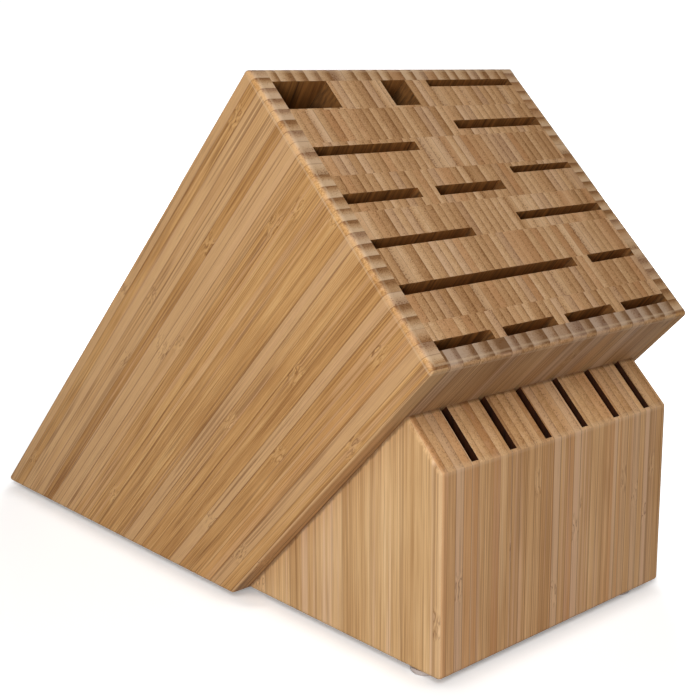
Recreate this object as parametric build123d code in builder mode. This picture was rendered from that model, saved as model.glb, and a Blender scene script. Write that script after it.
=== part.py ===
"""Laminated bamboo knife block: a slotted block that leans back at 45 degrees on a slotted base.

Frame: +X to the right, +Y to the back, +Z up, in millimetres. The origin is under the middle of
the whole object, on the surface that its feet stand on.

The leaning block has its own directions: up the block runs from its low end to its slotted face,
and into the block runs from its underside to its back. Its boards run up the block. Each slot is a
groove in the face of one board, closed by the next board, and it is open at the slotted face and
at the ground.
"""
import os
from math import cos, radians, sin, sqrt, tan

from build123d import *

# Leaning block
LEAN = radians(45)       # between the block's length and the ground
INNER_WIDTH = 160.0      # between the side panels
SIDE_PANEL = 9.4
BACK_PANEL = 8.6
UNDER_PANEL = 8.6
BOARDS = [17.8, 9.7, 9.7, 7.6, 11.6, 6.6, 9.2, 4.6, 9.6, 10.2, 19.4, 19.7, 13.9]   # from the back panel down
UNDER_LENGTH = 196.0     # from the ground to the slotted face, along the underside
FACE_ROUND = 2.6         # edges around the slotted face
LONG_ROUND = 1.0         # outer edges that run up the block
GROUND_ROUND = 2.0       # edges around the surfaces that face the ground

# Slots of the leaning block
WIDE_SLOT = 62.6
MIDDLE_SLOT = 45.5
PARING_SLOT = 34.3
CLEAVER_SLOT = 114.2
SHEARS_HOLE = 31.8
STEEL_HOLE = 16.4

# Base, a stack of upright boards with the steak knife slots between them
BASE_FRONT = 133.3       # from the front wall to the low front edge of the leaning block
BASE_HEIGHT = 92.4       # of the front wall
BASE_LEFT = -78.5
BASE_BOARDS = [19.3, 20.2, 19.8, 21.8, 19.8, 19.8, 13.4]    # from left to right
STEAK_SLOT = 4.4         # width, between one base board and the next
STEAK_SLOT_DEPTH = 27.5  # square to the leaning block's underside
BASE_ROUND = 2.3         # upright and sloping outer edges
BROW_ROUND = 1.5         # edge between the front wall and the slotted slope

# Feet
FOOT_RADIUS = 7.0
FOOT_HEIGHT = 2.4
FOOT_ROUND = 0.8
FEET = {                 # right of the middle, and back from the leaning block's low front edge
    "foot_front_left": (-71.0, -118.0),
    "foot_front_right": (59.0, -123.5),
    "foot_rear_left": (-68.0, 192.0),
    "foot_rear_right": (68.0, 192.0),
}

# Worked-out sizes
BLOCK_WIDTH = INNER_WIDTH + 2 * SIDE_PANEL
THICKNESS = BACK_PANEL + sum(BOARDS) + UNDER_PANEL
BASE_WIDTH = sum(BASE_BOARDS) + (len(BASE_BOARDS) - 1) * STEAK_SLOT
OVERHANG = UNDER_LENGTH * cos(LEAN)
FACE_LOW = UNDER_LENGTH * sin(LEAN)
FACE_HIGH = FACE_LOW + THICKNESS * cos(LEAN)
LOW_END = THICKNESS / sin(LEAN)
PAST_ENDS = UNDER_LENGTH + LOW_END

# The rounded front and rear edges stop short of the sharp corners, so the middle allows for that
FRONT_TRIM = FACE_ROUND * (sqrt(2) - 1)
REAR_TRIM = GROUND_ROUND * (1 / tan(LEAN / 2) - 1)
HEEL_Y = (OVERHANG - FRONT_TRIM - LOW_END + REAR_TRIM) / 2

# The heel is the low front edge of the leaning block, where its underside meets its ground surface
HEEL = Vector(0, HEEL_Y, FOOT_HEIGHT)
UP_BLOCK = Vector(0, -cos(LEAN), sin(LEAN))
BLOCK_AXIS = Axis(HEEL, UP_BLOCK)
SIDE_PLANE = Plane(origin=HEEL, x_dir=(0, 1, 0), z_dir=(1, 0, 0))   # local x to the back, local y up
FACE_PLANE = Plane(origin=HEEL + UP_BLOCK * UNDER_LENGTH, x_dir=(1, 0, 0), z_dir=UP_BLOCK)


def left_slot(width, height, board, at_top=True):
    """A groove that ends at the left side panel, in the upper or lower face of a board."""
    return (0, width, 0 if at_top else BOARDS[board - 1] - height, height)


def right_slot(width, height, board, at_top=True):
    """A groove that ends at the right side panel, in the upper or lower face of a board."""
    return (INNER_WIDTH - width, width, 0 if at_top else BOARDS[board - 1] - height, height)


def paring_slots(height, board):
    """Four equal grooves in a board's lower face, spread from one side panel to the other."""
    pitch = (INNER_WIDTH - PARING_SLOT) / 3
    return [(i * pitch, PARING_SLOT, BOARDS[board - 1] - height, height) for i in range(4)]


# Grooves of each slotted board: left edge from the left side panel, width, depth below the
# board's upper face, and height.
GROOVES = {
    1: [left_slot(SHEARS_HOLE, 16.9, 1), (66.4, STEEL_HOLE, 0, 16.6), right_slot(WIDE_SLOT, 4.6, 1)],
    3: [right_slot(WIDE_SLOT, 5.6, 3)],
    4: [left_slot(WIDE_SLOT, 5.3, 4, at_top=False)],
    6: [right_slot(MIDDLE_SLOT, 4.1, 6, at_top=False)],
    7: [left_slot(MIDDLE_SLOT, 5.6, 7, at_top=False), (56.6, MIDDLE_SLOT, 3.6, 5.6)],
    10: [left_slot(WIDE_SLOT, 4.8, 10, at_top=False), right_slot(WIDE_SLOT, 4.7, 10)],
    12: [left_slot(CLEAVER_SLOT, 5.2, 12), right_slot(PARING_SLOT, 4.8, 12)],
    13: paring_slots(4.8, 13),
}


def finish(name, part):
    """Label a finished piece and write it as parts/NAME.step."""
    part.label = name
    export_step(part, f"parts/{name}.step")


os.makedirs("parts", exist_ok=True)

# ---------------------------------------------------------------- outer shape of the leaning block
with BuildPart() as block_shape:
    with BuildSketch(SIDE_PLANE.offset(-BLOCK_WIDTH / 2)):
        with BuildLine():
            Polyline(
                (0, 0),
                (-OVERHANG, FACE_LOW),
                (LOW_END - FACE_HIGH / tan(LEAN), FACE_HIGH),
                (LOW_END, 0),
                close=True,
            )
        make_face()
    extrude(amount=BLOCK_WIDTH)
    ground_edges = block_shape.edges().group_by(Axis.Z)[0].sort_by(Axis.Y)
    fillet(ground_edges[1:], radius=GROUND_ROUND)
    fillet(block_shape.edges().filter_by(BLOCK_AXIS), radius=LONG_ROUND)
    fillet(block_shape.edges().group_by(BLOCK_AXIS)[-1], radius=FACE_ROUND)


def block_piece(name, left, width, depth, height, grooves=()):
    """A board of the leaning block: its section on the slotted face, cut to the outer shape.

    left is from the middle, and depth is from the back surface down to the board's upper side.
    """
    upper = THICKNESS - depth
    with BuildPart() as board:
        with BuildSketch(FACE_PLANE):
            with Locations((left, upper)):
                Rectangle(width, height, align=(Align.MIN, Align.MAX))
            for groove_left, groove_width, drop, groove_height in grooves:
                with Locations((left + groove_left, upper - drop)):
                    Rectangle(groove_width, groove_height, align=(Align.MIN, Align.MAX), mode=Mode.SUBTRACT)
        extrude(amount=-PAST_ENDS)
        add(block_shape.part, mode=Mode.INTERSECT)
    finish(name, board.part)


# ---------------------------------------------------------------- boards of the leaning block
block_piece("left_side_panel", -BLOCK_WIDTH / 2, SIDE_PANEL, 0, THICKNESS)
block_piece("right_side_panel", INNER_WIDTH / 2, SIDE_PANEL, 0, THICKNESS)
block_piece("back_panel", -INNER_WIDTH / 2, INNER_WIDTH, 0, BACK_PANEL)
block_piece("under_panel", -INNER_WIDTH / 2, INNER_WIDTH, THICKNESS - UNDER_PANEL, UNDER_PANEL)

board_depth = BACK_PANEL
for number, board_height in enumerate(BOARDS, start=1):
    grooves = GROOVES.get(number, [])
    block_piece(f"slot_board_{number}", -INNER_WIDTH / 2, INNER_WIDTH, board_depth, board_height, grooves)
    board_depth += board_height

# ---------------------------------------------------------------- outer shape of the base
# The slotted slope is square to the underside, so it climbs backwards from the brow until it meets it.
BROW = (-BASE_FRONT, BASE_HEIGHT)
climb = BASE_FRONT * sin(LEAN) - BASE_HEIGHT * cos(LEAN)
SLOPE_TOP = (BROW[0] + climb * sin(LEAN), BROW[1] + climb * cos(LEAN))


def climbs_the_slope(edge):
    """True for an edge that runs square to the leaning block's underside."""
    direction = edge.tangent_at(0.5)
    return abs(abs(direction.Y) - sin(LEAN)) < 0.01 and direction.Y * direction.Z > 0.1


with BuildPart() as base_shape:
    with BuildSketch(SIDE_PLANE.offset(BASE_LEFT)):
        with BuildLine():
            Polyline((0, 0), (-BASE_FRONT, 0), BROW, SLOPE_TOP, close=True)
        make_face()
    extrude(amount=BASE_WIDTH)
    upright_edges = base_shape.edges().filter_by(Axis.Z)
    sloping_edges = base_shape.edges().filter_by(climbs_the_slope)
    fillet(upright_edges + sloping_edges, radius=BASE_ROUND)
    front_edges = base_shape.edges().filter_by(Axis.X).group_by(Axis.Y)[0]
    fillet(front_edges.sort_by(Axis.Z)[-1], radius=BROW_ROUND)
    ground_edges = base_shape.edges().group_by(Axis.Z)[0].sort_by(Axis.Y)
    fillet(ground_edges[:-1], radius=GROUND_ROUND)


def base_piece(name, left, width, below_underside):
    """An upright board of the base, whose upper edge lies this far below the underside."""
    drop = below_underside / cos(LEAN)
    with BuildPart() as board:
        with BuildSketch(SIDE_PLANE.offset(left)):
            with BuildLine():
                Polyline(
                    (-drop, 0),
                    (-BASE_FRONT - 1, 0),
                    (-BASE_FRONT - 1, BASE_FRONT + 1 - drop),
                    close=True,
                )
            make_face()
        extrude(amount=width)
        add(base_shape.part, mode=Mode.INTERSECT)
    finish(name, board.part)


# ---------------------------------------------------------------- boards of the base
# Lower boards between the tall ones leave the steak knife slots above them.
base_left = BASE_LEFT
for number, base_thickness in enumerate(BASE_BOARDS, start=1):
    base_piece(f"base_board_{number}", base_left, base_thickness, 0)
    base_left += base_thickness
    if number < len(BASE_BOARDS):
        base_piece(f"base_spacer_{number}", base_left, STEAK_SLOT, STEAK_SLOT_DEPTH)
        base_left += STEAK_SLOT

# ---------------------------------------------------------------- feet
for name, (right, back) in FEET.items():
    with BuildPart() as foot:
        with BuildSketch(Plane.XY):
            with Locations((right, HEEL_Y + back)):
                Circle(FOOT_RADIUS)
        extrude(amount=FOOT_HEIGHT)
        fillet(foot.edges().group_by(Axis.Z)[0], radius=FOOT_ROUND)
    finish(name, foot.part)
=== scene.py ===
"""Looks for the bamboo knife block: wood materials, rubber feet, floor, lights and camera."""
from math import cos, pi, radians, sin

import bpy
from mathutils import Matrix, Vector


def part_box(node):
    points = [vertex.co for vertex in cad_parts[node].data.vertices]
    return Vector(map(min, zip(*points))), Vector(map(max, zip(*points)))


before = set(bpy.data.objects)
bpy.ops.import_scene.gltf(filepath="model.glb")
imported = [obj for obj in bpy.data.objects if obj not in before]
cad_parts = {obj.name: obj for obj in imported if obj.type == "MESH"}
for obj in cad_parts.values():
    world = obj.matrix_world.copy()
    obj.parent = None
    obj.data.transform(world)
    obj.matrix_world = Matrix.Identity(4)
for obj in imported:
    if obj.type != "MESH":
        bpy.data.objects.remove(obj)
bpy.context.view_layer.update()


# ---------------------------------------------------------------- where things are
MM = 0.001
# The leaning block runs up and forwards from its heel, the low front edge of its underside.
LEAN = radians(45)
base_low, base_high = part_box("base_board_1")
HEEL = Vector((0, base_high.y, base_low.z))
HALF_WIDTH = -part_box("left_side_panel")[0].x
INNER_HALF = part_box("back_panel")[1].x
BASE_LEFT = base_low.x
BASE_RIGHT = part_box("base_board_7")[1].x
BLOCK_DEPTH = 166.8 * MM
# the slotted face, from the heel along the grain, and the base's upper front edge, from the floor
FACE_HEIGHT = 196.0 * MM
BROW_HEIGHT = 92.4 * MM
# where the rounding round the slotted face ends, in mm from the edge
FACE_ROUND = 2.6
# no steak knife slot is this near to the base's own sides, in mm
BASE_SKIN = 5.5

SIDEWAYS = (1, 0, 0)
UPRIGHT = (0, 0, 1)
UP_BLOCK = (0, -cos(LEAN), sin(LEAN))
INTO_BLOCK = (0, sin(LEAN), cos(LEAN))

# widths of the bamboo strips in mm, and of the wide faces that the base's sides show
BOARD_STRIP = 4.88
SIDE_STRIP = 6.38
BACK_STRIP = 7.8
UNDER_STRIP = 8.8
FLAT_STRIP = 19.2
FLAT_OFFSET = 14.0
KNUCKLE_SPACING = 300.0


# ---------------------------------------------------------------- material building
class Graph:
    """A material's node tree, with short calls that return output sockets."""

    def __init__(self, name):
        self.material = bpy.data.materials.new(name)
        self.material.use_nodes = True
        self.tree = self.material.node_tree
        self.tree.nodes.clear()
        self.shader = self.tree.nodes.new("ShaderNodeBsdfPrincipled")
        out = self.tree.nodes.new("ShaderNodeOutputMaterial")
        self.tree.links.new(self.shader.outputs["BSDF"], out.inputs["Surface"])

    def put(self, socket, value):
        if isinstance(value, bpy.types.NodeSocket):
            self.tree.links.new(value, socket)
        else:
            socket.default_value = value

    def coords(self):
        return self.tree.nodes.new("ShaderNodeTexCoord").outputs["Object"]

    def math(self, operation, a, b=None, c=None):
        node = self.tree.nodes.new("ShaderNodeMath")
        node.operation = operation
        for socket, value in zip(node.inputs, (a, b, c)):
            if value is not None:
                self.put(socket, value)
        return node.outputs[0]

    def add(self, a, b):
        return self.math("ADD", a, b)

    def sub(self, a, b):
        return self.math("SUBTRACT", a, b)

    def mul(self, a, b):
        return self.math("MULTIPLY", a, b)

    def mad(self, a, b, c):
        return self.math("MULTIPLY_ADD", a, b, c)

    def div(self, a, b):
        return self.math("DIVIDE", a, b)

    def floor(self, a):
        return self.math("FLOOR", a)

    def fract(self, a):
        return self.math("FRACT", a)

    def abs(self, a):
        return self.math("ABSOLUTE", a)

    def min(self, a, b):
        return self.math("MINIMUM", a, b)

    def max(self, a, b):
        return self.math("MAXIMUM", a, b)

    def vector(self, x, y, z):
        node = self.tree.nodes.new("ShaderNodeCombineXYZ")
        for socket, value in zip(node.inputs, (x, y, z)):
            self.put(socket, value)
        return node.outputs[0]

    def stretched(self, x, y, z, across, along):
        """The point with x and y scaled by across, and z by along."""
        return self.vector(self.mul(x, across), self.mul(y, across), self.mul(z, along))

    def split(self, vector):
        node = self.tree.nodes.new("ShaderNodeSeparateXYZ")
        self.put(node.inputs[0], vector)
        return node.outputs[0], node.outputs[1], node.outputs[2]

    def dot(self, a, b):
        node = self.tree.nodes.new("ShaderNodeVectorMath")
        node.operation = "DOT_PRODUCT"
        self.put(node.inputs[0], a)
        self.put(node.inputs[1], b)
        return node.outputs["Value"]

    def place(self, vector, origin, turn):
        """The vector seen from an origin, turned about X, in millimetres."""
        moved = self.tree.nodes.new("ShaderNodeVectorMath")
        moved.operation = "SUBTRACT"
        self.put(moved.inputs[0], vector)
        self.put(moved.inputs[1], origin)
        turned = self.tree.nodes.new("ShaderNodeMapping")
        self.put(turned.inputs["Vector"], moved.outputs[0])
        turned.inputs["Rotation"].default_value = (turn, 0, 0)
        turned.inputs["Scale"].default_value = (1 / MM, 1 / MM, 1 / MM)
        return self.split(turned.outputs[0])

    def noise(self, vector, detail, rough=0.5, scale=1.0):
        node = self.tree.nodes.new("ShaderNodeTexNoise")
        self.put(node.inputs["Vector"], vector)
        self.put(node.inputs["Scale"], scale)
        self.put(node.inputs["Detail"], detail)
        self.put(node.inputs["Roughness"], rough)
        return node.outputs[0]

    def white(self, vector):
        """A random number for each value of the vector."""
        node = self.tree.nodes.new("ShaderNodeTexWhiteNoise")
        node.noise_dimensions = "3D"
        self.put(node.inputs["Vector"], vector)
        return node.outputs["Value"]

    def voronoi(self, vector):
        """Distance to the nearest of a scatter of points."""
        node = self.tree.nodes.new("ShaderNodeTexVoronoi")
        self.put(node.inputs["Vector"], vector)
        node.inputs["Scale"].default_value = 1.0
        return node.outputs["Distance"]

    def smooth(self, value, low, high, to_low=0.0, to_high=1.0):
        """A smooth step from to_low at low to to_high at high, where low may be the larger."""
        node = self.tree.nodes.new("ShaderNodeMapRange")
        node.interpolation_type = "SMOOTHSTEP"
        for socket, v in zip(node.inputs, (value, low, high, to_low, to_high)):
            self.put(socket, v)
        return node.outputs[0]

    def ramp(self, value, stops):
        node = self.tree.nodes.new("ShaderNodeValToRGB")
        self.put(node.inputs[0], value)
        elements = node.color_ramp.elements
        while len(elements) < len(stops):
            elements.new(0.5)
        for element, (position, colour) in zip(elements, stops):
            element.position = position
            element.color = (*colour, 1)
        return node.outputs[0]

    def mix(self, factor, a, b, blend="MIX"):
        node = self.tree.nodes.new("ShaderNodeMix")
        node.data_type = "RGBA"
        node.blend_type = blend
        self.put(node.inputs["Factor"], factor)
        for name, value in (("A", a), ("B", b)):
            socket = next(s for s in node.inputs if s.name == name and s.type == "RGBA")
            self.put(socket, value if isinstance(value, bpy.types.NodeSocket) else (*value, 1))
        return next(s for s in node.outputs if s.type == "RGBA")

    def shaded(self, colour, amount):
        """A colour times a grey amount."""
        return self.mix(1.0, colour, self.vector(amount, amount, amount), "MULTIPLY")

    def bump(self, height, distance, strength):
        node = self.tree.nodes.new("ShaderNodeBump")
        self.put(node.inputs["Height"], height)
        node.inputs["Distance"].default_value = distance
        node.inputs["Strength"].default_value = strength
        self.tree.links.new(node.outputs[0], self.shader.inputs["Normal"])


def srgb(r, g, b):
    """A colour from 0-255 display values, in linear light."""
    def linear(v):
        v = v / 255
        return v / 12.92 if v <= 0.04045 else ((v + 0.055) / 1.055) ** 2.4
    return (linear(r), linear(g), linear(b))


def tinted(colour, tint):
    return tuple(c * t for c, t in zip(colour, tint))


# ---------------------------------------------------------------- colours
# bamboo tones from the palest to the darkest
PALE = srgb(222, 188, 146)
LIGHT = srgb(204, 164, 118)
MIDDLE = srgb(184, 142, 96)
DEEP = srgb(156, 113, 70)
DARK_FIBRE = srgb(118, 74, 38)
# strips, and patches in them, that are greyer or redder than the rest
GREY_STRIP = srgb(210, 178, 148)
RED_STRIP = srgb(196, 140, 92)
BLUSH = srgb(208, 172, 144)
# edges worn pale, partly a painted highlight along them
WORN_AND_HIGHLIGHT = srgb(226, 196, 160)
# the walls of the knife slots in the leaning block, which wall_shade darkens with painted shade
SLOT_WALL = srgb(160, 106, 54)
# the near-black walls of the steak knife slots, partly painted shade, and the colour of the painted shade
# under the leaning block
STEAK_WALL_AND_SHADE = srgb(74, 34, 8)
RUBBER_DIM = srgb(216, 198, 190)
RUBBER_BRIGHT = srgb(234, 220, 212)

# what the tones are multiplied by: on each kind of board, on its end grain, and on the base's sides
PANEL_TINT = (0.985, 0.88, 0.67)
UNDER_TINT = (0.93, 0.87, 0.82)
BOARD_TINT = (1.0, 0.955, 0.955)
BASE_TINT = (1.10, 1.03, 0.96)
PANEL_END = (0.89, 0.97, 1.32)
UNDER_END = (0.72, 0.78, 0.98)
BASE_END = (0.89, 0.89, 0.89)
FLAT_SIDE = (1.07, 1.19, 1.28)


# ---------------------------------------------------------------- bamboo
def face_ridges(g, x, depth, grain):
    """The two pale lines along the rounded edges of the slotted face: worn edges, with a painted highlight."""
    below = g.sub(FACE_HEIGHT / MM, grain)
    inside = g.min(g.sub(HALF_WIDTH / MM, g.abs(x)), depth)
    inside = g.min(inside, g.sub(BLOCK_DEPTH / MM, depth))
    on_side = g.mul(g.smooth(g.abs(g.sub(below, FACE_ROUND)), 0.75, 0.2), g.smooth(inside, 0.6, 0.2))
    on_face = g.mul(g.smooth(g.abs(g.sub(inside, FACE_ROUND)), 0.85, 0.2), g.smooth(below, 0.6, 0.2))
    return g.max(on_side, on_face)


def base_edges(g, x, y, z):
    """The pale front edges of the base, worn and with a painted highlight: its two corners and its brow."""
    ahead = g.abs(g.sub(y, (base_low.y - HEEL.y) / MM))
    aside = g.min(g.abs(g.sub(x, BASE_LEFT / MM)), g.abs(g.sub(x, BASE_RIGHT / MM)))
    below = g.abs(g.sub(BROW_HEIGHT / MM, z))
    corner = g.smooth(g.max(ahead, aside), 3.0, 1.2)
    brow = g.smooth(g.max(ahead, below), 2.0, 0.8)
    return g.max(corner, brow)


def knuckles(g, first, second, grain, random_two, random_three, end_grain):
    """Where the fibres weave, once in most strips, and the pattern that they weave in."""
    half = KNUCKLE_SPACING / 2
    along = g.math("WRAP", g.mad(random_two, KNUCKLE_SPACING, grain), half, -half)
    ragged = g.noise(g.stretched(first, second, grain, 0.4, 0.10), 2)
    near = g.add(g.abs(along), g.mul(g.sub(ragged, 0.5), 12.0))
    knuckle = g.mul(g.smooth(near, 8.5, 2.5), g.smooth(random_three, 0.25, 0.3))
    knuckle = g.mul(knuckle, g.sub(1.0, end_grain))
    weave = g.vector(g.mad(first, 0.40, random_two), g.mul(second, 0.40), g.mul(grain, 0.10))
    return knuckle, g.noise(weave, 1.5)


def wall_shade(g, x, y, grain, normal, leaning):
    """How bright a slot's wall is: saw marks along the grain, and painted shade that makes side walls darker
    and walls darker deep down.
    """
    across_cut = g.mul(g.add(x, g.mul(grain, 0.22)), 0.5)
    marks = g.noise(g.vector(across_cut, g.mul(y, 0.5), g.mul(grain, 0.02)), 2, 0.7)
    shade = g.max(g.mad(marks, 2.6, -0.3), 0.25)
    # painted shade: walls facing sideways darker, and in the leaning block darker deep down
    side_wall = g.abs(g.dot(normal, SIDEWAYS))
    at_rim = g.mad(side_wall, -0.58, 1.0)
    if not leaning:
        return g.mul(shade, at_rim)
    sunk = g.sub(FACE_HEIGHT / MM, grain)
    deep = g.mad(side_wall, -0.43, 0.5)
    return g.mul(shade, g.smooth(sunk, 0.0, g.mad(side_wall, -20.0, 45.0), at_rim, deep))


def painted_junction_shade(g, x, y, z):
    """Painted shade on the base just under the leaning block, darkest at the joint and fading out a few mm
    lower at a ragged edge.
    """
    below = g.mul(g.add(y, z), -sin(LEAN))
    ragged = g.noise(g.stretched(x, y, z, 0.35, 0.35), 3)
    return g.smooth(below, g.mad(ragged, 3.0, 0.4), ragged, 0.0, 0.55)


def bamboo(
    name, seed, across, strip, offset, walls, leaning=True, flat_strip=None, wall_colour=SLOT_WALL,
    tint=(1, 1, 1), end_tint=(1, 1, 1), saw=0.34, speckle=0.48, uneven=0.0,
):
    """Laminated bamboo as a solid texture, in millimetres from the heel.

    seed: the number that its random strips come from
    across: the direction in which one strip follows another, "x" or "depth"
    strip, offset: a strip's width, and how far the strips are moved
    walls: a function that masks the sides of the slots, and wall_colour their colour
    leaning: whether the grain runs up the leaning block, or straight up as in the base
    flat_strip: the width of the strips' wide faces, which show on the base's own sides
    tint, end_tint: what the tones are multiplied by, and what the end grain is multiplied by again
    saw: how much a strip's cut end darkens from one side to the other
    speckle: how dark the dots of fibre on a cut end are
    uneven: how far the strips' joints are moved about, in mm
    """
    g = Graph(name)
    normal = g.tree.nodes.new("ShaderNodeNewGeometry").outputs["Normal"]
    x, y, grain = g.place(g.coords(), HEEL, LEAN - pi / 2 if leaning else 0)
    first, second = (x, y) if across == "x" else (y, x)
    if uneven:
        first = g.mad(g.noise(g.vector(g.mul(first, 0.09), seed, 0.0), 1), uneven, first)
    cut = g.abs(g.dot(normal, UP_BLOCK if leaning else UPRIGHT))
    end_grain = g.smooth(cut, 0.70, 0.97) if leaning else g.smooth(cut, 0.45, 0.85)
    along_grain = g.smooth(cut, 0.5, 0.1)

    # strips, with three random numbers for each
    place_first = g.div(g.add(first, offset), strip)
    wander = g.noise(g.vector(g.mul(grain, 0.004), seed, g.floor(place_first)), 1)
    place_first = g.add(place_first, g.mul(g.sub(wander, 0.5), 0.10))
    index, part = g.floor(place_first), g.fract(place_first)
    index_second, flat = 0.0, 0.0
    if flat_strip:
        flat = g.smooth(g.abs(g.dot(normal, SIDEWAYS)), 0.55, 0.65)
        place_second = g.div(g.add(second, FLAT_OFFSET), flat_strip)
        index_second = g.mul(g.floor(place_second), flat)
        part = g.mad(g.sub(g.fract(place_second), part), flat, part)
        index = g.mul(index, g.sub(1.0, flat))
    random_tone = g.white(g.vector(index, index_second, seed))
    random_two = g.white(g.vector(index, index_second, seed + 41.3))
    random_three = g.white(g.vector(index, index_second, seed + 87.9))

    # the fibres, pushed aside at the knuckles
    knuckle, weave = knuckles(g, first, second, grain, random_two, random_three, end_grain)
    push = g.mul(g.mul(g.sub(weave, 0.5), knuckle), 5.0)
    fibre_first, fibre_second = g.add(first, push), g.add(second, push)
    jitter = g.mul(random_two, 57.0)

    def fibre_place(across_scale, along_scale, shift):
        return g.vector(
            g.mul(fibre_first, across_scale),
            g.mul(fibre_second, across_scale),
            g.mad(grain, along_scale, g.add(jitter, shift)),
        )

    # streaks along the grain, from broad to fine, then patches of colour and thin dark hairs
    broad = g.noise(fibre_place(0.22, 0.003, 0.0), 2)
    middle = g.noise(fibre_place(0.75, 0.009, 3.0), 2, 0.6)
    fine = g.noise(fibre_place(2.0, 0.026, 6.0), 2, 0.65)
    blush = g.noise(fibre_place(0.30, 0.004, 51.0), 1)
    hair = g.noise(fibre_place(0.62, 0.0045, 67.0), 1.5)
    hair_patch = g.noise(fibre_place(0.12, 0.012, 75.0), 1)
    hair = g.mul(g.smooth(g.abs(g.sub(hair, 0.5)), 0.058, 0.015), g.smooth(hair_patch, 0.40, 0.56))
    mottle = g.noise(g.stretched(x, y, grain, 0.02, 0.02), 1)

    # fibre bundles: dots on a cut end, dark lines along the grain, and closest together at the skin
    skin = g.abs(g.sub(g.smooth(random_three, 0.90, 0.91), part))
    spread = g.voronoi(fibre_place(1.05, 0.004, 21.0))
    reach = g.mad(skin, g.mad(random_tone, -0.14, 0.30), 0.16)
    bundle = g.smooth(g.sub(spread, reach), 0.10, -0.10)

    # from all of these, a place between the darkest tone and the palest
    tone = g.mul(g.sub(random_tone, 0.5), g.mad(end_grain, 0.22, 0.30))
    tone = g.add(tone, g.mul(g.sub(broad, 0.5), g.mad(end_grain, -0.15, 0.45)))
    tone = g.add(tone, g.mul(g.sub(middle, 0.5), g.mad(end_grain, -0.55, 0.80)))
    tone = g.add(tone, g.mul(g.sub(fine, 0.5), g.mad(end_grain, -0.65, 1.75) if leaning else 1.0))
    tone = g.add(tone, g.mul(g.sub(mottle, 0.5), 0.3))
    gradient = g.mul(end_grain, g.mad(random_two, 0.9 * saw, 0.55 * saw))
    tone = g.add(tone, g.mul(g.sub(0.32, g.math("POWER", skin, 2.0)), g.add(gradient, 0.10)))
    tone = g.add(tone, 0.50)
    stops = [(0.02, DEEP), (0.36, MIDDLE), (0.68, LIGHT), (0.98, PALE)]
    colour = g.ramp(tone, [(position, tinted(stop, tint)) for position, stop in stops])

    # strips and patches of another colour, then the colour of end grain and of the base's sides
    grey_strip = g.mad(end_grain, -0.30, g.mad(flat, -0.5, 0.58))
    colour = g.mix(g.mul(g.smooth(random_two, 0.74, 0.86), grey_strip), colour, tinted(GREY_STRIP, tint))
    colour = g.mix(g.mul(g.smooth(random_two, 0.22, 0.05), 0.30), colour, tinted(RED_STRIP, tint))
    bright_strip = g.mul(g.smooth(random_three, 0.93, 0.94), g.mul(end_grain, 0.45))
    colour = g.mix(bright_strip, colour, tinted(PALE, tint))
    blush = g.mul(g.smooth(blush, 0.55, 0.66), g.mad(end_grain, -0.40, 0.45))
    colour = g.mix(blush, colour, tinted(BLUSH, tint))
    colour = g.mix(end_grain, colour, end_tint, "MULTIPLY")
    if flat_strip:
        colour = g.mix(flat, colour, FLAT_SIDE, "MULTIPLY")

    # dark fibre
    dark = g.mul(g.smooth(fine, 0.58, 0.72), g.mul(along_grain, 0.45 if leaning else 0.28))
    dark = g.max(dark, g.mul(hair, g.mul(along_grain, 0.50 if leaning else 0.24)))
    dark = g.add(dark, g.mul(bundle, g.mad(end_grain, g.mul(skin, speckle), g.mad(random_three, 0.22, 0.06))))
    colour = g.mix(dark, colour, DARK_FIBRE)

    # knuckles: loops of pale and dark fibre
    loops = g.abs(g.sub(g.fract(g.mul(weave, 4.0)), 0.5))
    dark_loop = g.mul(knuckle, g.smooth(loops, 0.12, 0.03))
    pale_loop = g.mul(knuckle, g.smooth(loops, 0.2, 0.42))
    colour = g.mix(g.mul(pale_loop, 0.30), colour, tinted(PALE, tint))
    colour = g.mix(g.mul(dark_loop, 0.50), colour, DARK_FIBRE)

    # glue lines between strips
    gap = g.mul(g.min(part, g.sub(1.0, part)), strip)
    line = g.mul(g.smooth(gap, 0.32, 0.08), g.mad(random_two, 0.7, 0.25))
    if flat_strip:
        line = g.mul(line, g.mad(flat, -0.5, 1.0))
    colour = g.mix(g.mul(line, g.mad(end_grain, -0.15, 0.70)), colour, DARK_FIBRE)

    # edges worn pale with a painted highlight, slot walls with painted shade, and painted shade just under the
    # leaning block
    if leaning:
        worn_and_highlight = g.mul(face_ridges(g, x, y, grain), g.mad(mottle, 0.5, 0.03))
    else:
        worn_and_highlight = g.mul(base_edges(g, x, y, grain), g.mad(mottle, 0.3, 0.02))
    colour = g.mix(worn_and_highlight, colour, WORN_AND_HIGHLIGHT)
    wall = g.shaded(wall_colour, wall_shade(g, x, y, grain, normal, leaning))
    colour = g.mix(walls(g, x, normal), colour, wall)
    # painted shade along the base's joint with the leaning block
    if not leaning:
        colour = g.mix(painted_junction_shade(g, x, y, grain), colour, STEAK_WALL_AND_SHADE)

    g.put(g.shader.inputs["Base Color"], colour)
    g.put(g.shader.inputs["Roughness"], g.mad(fine, 0.2, 0.46))
    g.shader.inputs["Specular IOR Level"].default_value = 0.3
    height = g.add(g.mul(fine, 0.4), g.mul(line, -0.8))
    height = g.add(height, g.mul(bundle, -0.25))
    height = g.add(height, g.mul(pale_loop, 0.5))
    g.bump(height, 0.12 * MM, 0.5)
    return g.material


# ---------------------------------------------------------------- masks for the sides of the slots
def board_walls(g, x, normal):
    """Everything but the two cut ends of a slot board is inside the block."""
    return g.smooth(g.abs(g.dot(normal, UP_BLOCK)), 0.6, 0.5)


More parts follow.
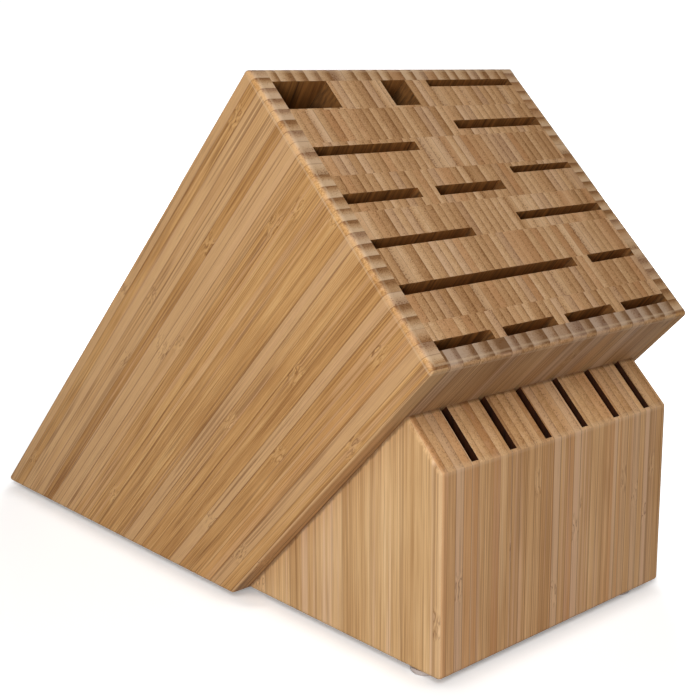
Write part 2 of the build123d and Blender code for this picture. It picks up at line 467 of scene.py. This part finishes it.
def side_walls(g, x, normal):
    """The inner face of a side panel."""
    facing = g.smooth(g.abs(g.dot(normal, SIDEWAYS)), 0.9, 0.99)
    return g.mul(facing, g.smooth(g.abs(x), INNER_HALF / MM + 0.5, INNER_HALF / MM + 0.2))


def back_walls(g, x, normal):
    """The inner face of the back panel."""
    return g.smooth(g.dot(normal, INTO_BLOCK), -0.8, -0.95)


def under_walls(g, x, normal):
    """The inner face of the under panel."""
    return g.smooth(g.dot(normal, INTO_BLOCK), 0.8, 0.95)


def base_walls(g, x, normal):
    """The sides of the steak knife slots."""
    facing = g.smooth(g.abs(g.dot(normal, SIDEWAYS)), 0.9, 0.99)
    from_left = g.smooth(x, BASE_LEFT / MM + BASE_SKIN, BASE_LEFT / MM + BASE_SKIN + 0.5)
    from_right = g.smooth(x, BASE_RIGHT / MM - BASE_SKIN, BASE_RIGHT / MM - BASE_SKIN - 0.5)
    return g.mul(facing, g.mul(from_left, from_right))


def spacer_walls(g, x, normal):
    """The upper edge of a spacer, the floor of a steak knife slot."""
    return g.smooth(g.dot(normal, INTO_BLOCK), 0.8, 0.9)


# ---------------------------------------------------------------- materials on the CAD nodes
def dress(node, material):
    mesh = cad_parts[node].data
    for slot in range(len(mesh.materials)):
        mesh.materials[slot] = material
    if not mesh.materials:
        mesh.materials.append(material)


PANEL_LOOK = dict(tint=PANEL_TINT, end_tint=PANEL_END, saw=1.4, speckle=0.55)
UNDER_LOOK = dict(tint=UNDER_TINT, end_tint=UNDER_END, saw=1.5, speckle=0.6)
BASE_LOOK = dict(leaning=False, wall_colour=STEAK_WALL_AND_SHADE, tint=BASE_TINT)

dress("left_side_panel", bamboo("left_panel", 3.0, "depth", SIDE_STRIP, -1.0, side_walls, **PANEL_LOOK))
dress("right_side_panel", bamboo("right_panel", 5.0, "depth", SIDE_STRIP, -2.6, side_walls, **PANEL_LOOK))
dress("back_panel", bamboo("back_panel", 7.0, "x", BACK_STRIP, 0.7, back_walls, uneven=6.0, **PANEL_LOOK))
dress("under_panel", bamboo("under_panel", 9.0, "x", UNDER_STRIP, 2.1, under_walls, uneven=12.0, **UNDER_LOOK))
# boards cut from one lamination share its strips
LAMINATIONS = [(1,), (2, 3), (4, 5), (6, 7, 8), (9, 10), (11,), (12,), (13,)]
for batch, numbers in enumerate(LAMINATIONS, start=1):
    name = f"slot_boards_{batch}"
    wood = bamboo(name, 10.0 + batch, "x", BOARD_STRIP, 1.7 * batch, board_walls, tint=BOARD_TINT)
    for number in numbers:
        dress(f"slot_board_{number}", wood)
for number in range(1, 8):
    name = f"base_board_{number}"
    dress(name, bamboo(
        name, 30.0 + number, "x", BOARD_STRIP, 1.3 * number, base_walls,
        flat_strip=FLAT_STRIP, end_tint=BASE_END, **BASE_LOOK,
    ))
for number in range(1, 7):
    name = f"base_spacer_{number}"
    dress(name, bamboo(name, 50.0 + number, "x", BOARD_STRIP, 2.2 * number, spacer_walls, **BASE_LOOK))


def rubber():
    g = Graph("clear_rubber")
    cloud = g.noise(g.coords(), 3, scale=900.0)
    g.put(g.shader.inputs["Base Color"], g.ramp(cloud, [(0.3, RUBBER_DIM), (0.7, RUBBER_BRIGHT)]))
    g.put(g.shader.inputs["Roughness"], g.mad(cloud, 0.25, 0.25))
    g.shader.inputs["Transmission Weight"].default_value = 0.35
    g.shader.inputs["IOR"].default_value = 1.42
    g.bump(cloud, 0.03 * MM, 0.4)
    return g.material


for node in ("foot_front_left", "foot_front_right", "foot_rear_left", "foot_rear_right"):
    dress(node, rubber())

# ---------------------------------------------------------------- floor and backdrop
FLOOR_HALF = 30.0
# the floor's grey to the camera and in bounced light, and how far its contact shadow reaches
FLOOR_SEEN = (0.9, 0.9, 0.9)
FLOOR_BOUNCE = (0.55, 0.55, 0.55)
SHADOW_REACH = 0.016
# the backdrop's strength to the camera and in the light it gives
BACKDROP = 1.05
AMBIENT = 0.03


def pale_floor():
    """Pale grey, with light of its own that only the camera sees and that fades at the block's foot."""
    g = Graph("pale_floor")
    g.shader.inputs["Roughness"].default_value = 0.9
    g.shader.inputs["Specular IOR Level"].default_value = 0.1
    g.shader.inputs["Emission Color"].default_value = (1, 1, 1, 1)
    seen = g.tree.nodes.new("ShaderNodeLightPath").outputs["Is Camera Ray"]
    g.put(g.shader.inputs["Base Color"], g.mix(seen, FLOOR_BOUNCE, FLOOR_SEEN))
    x, y, _ = g.split(g.coords())
    away = g.math("SQRT", g.add(g.mul(x, x), g.mul(y, y)))
    # more of it on the right and behind, where the lights cast the block's shadow
    behind = g.mul(g.smooth(x, 0.06, 0.14), g.smooth(y, -0.30, -0.16))
    glow = g.mad(behind, 0.45, g.smooth(away, 0.20, 0.7, 0.48, BACKDROP))
    contact = g.tree.nodes.new("ShaderNodeAmbientOcclusion")
    contact.inputs["Distance"].default_value = SHADOW_REACH
    glow = g.mul(glow, g.smooth(contact.outputs["AO"], 0.5, 1.0, 0.42, 1.0))
    g.put(g.shader.inputs["Emission Strength"], g.mul(seen, glow))
    return g.material


mesh = bpy.data.meshes.new("floor")
corners = [(x * FLOOR_HALF, y * FLOOR_HALF, 0) for x, y in ((-1, -1), (1, -1), (1, 1), (-1, 1))]
mesh.from_pydata(corners, [], [(0, 1, 2, 3)])
mesh.materials.append(pale_floor())
floor = bpy.data.objects.new("floor", mesh)
bpy.context.scene.collection.objects.link(floor)

world = bpy.data.worlds.new("studio")
world.use_nodes = True
background = world.node_tree.nodes["Background"]
background.inputs["Color"].default_value = (1, 1, 1, 1)
path = world.node_tree.nodes.new("ShaderNodeLightPath")
strength = world.node_tree.nodes.new("ShaderNodeMath")
strength.operation = "MULTIPLY_ADD"
strength.inputs[1].default_value = BACKDROP - AMBIENT
strength.inputs[2].default_value = AMBIENT
world.node_tree.links.new(path.outputs["Is Camera Ray"], strength.inputs[0])
world.node_tree.links.new(strength.outputs[0], background.inputs["Strength"])
bpy.context.scene.world = world


# ---------------------------------------------------------------- lights
def area_light(name, position, target, size, power):
    data = bpy.data.lights.new(name, "AREA")
    data.shape = "DISK"
    data.size = size
    data.energy = power
    light = bpy.data.objects.new(name, data)
    light.location = position
    light.rotation_euler = (Vector(target) - Vector(position)).to_track_quat("-Z", "Y").to_euler()
    bpy.context.scene.collection.objects.link(light)


area_light("key", (-1.3, -0.85, 0.45), (0, -0.05, 0.08), 0.8, 14.5)
area_light("overhead", (-0.9, -0.9, 1.5), (0, -0.05, 0.08), 1.0, 16.0)
area_light("back", (1.35, 1.45, 0.55), (0, 0.05, 0.1), 1.0, 27)

# ---------------------------------------------------------------- camera, at the photograph's angle
AZIMUTH = radians(-42.59)
ELEVATION = radians(11.107)
DISTANCE = 0.6509
# the point the camera is aimed at, behind and above the heel, before the shift
AIM_BEHIND = -1.724 * MM
AIM_ABOVE = 132.086 * MM
LENS = 63.96
SENSOR = 36
SHIFT_X = -0.0224
SHIFT_Y = -0.0576

aim = Vector((0, HEEL.y + AIM_BEHIND, HEEL.z + AIM_ABOVE))
towards = Vector((sin(AZIMUTH) * cos(ELEVATION), -cos(AZIMUTH) * cos(ELEVATION), sin(ELEVATION)))
camera_data = bpy.data.cameras.new("camera")
camera_data.lens = LENS
camera_data.sensor_width = SENSOR
camera_data.shift_x = SHIFT_X
camera_data.shift_y = SHIFT_Y
camera_data.clip_end = 100
camera = bpy.data.objects.new("camera", camera_data)
camera.location = aim + towards * DISTANCE
camera.rotation_euler = (pi / 2 - ELEVATION, 0, AZIMUTH)
bpy.context.scene.collection.objects.link(camera)
bpy.context.scene.camera = camera
bpy.context.scene.view_settings.view_transform = "Standard"
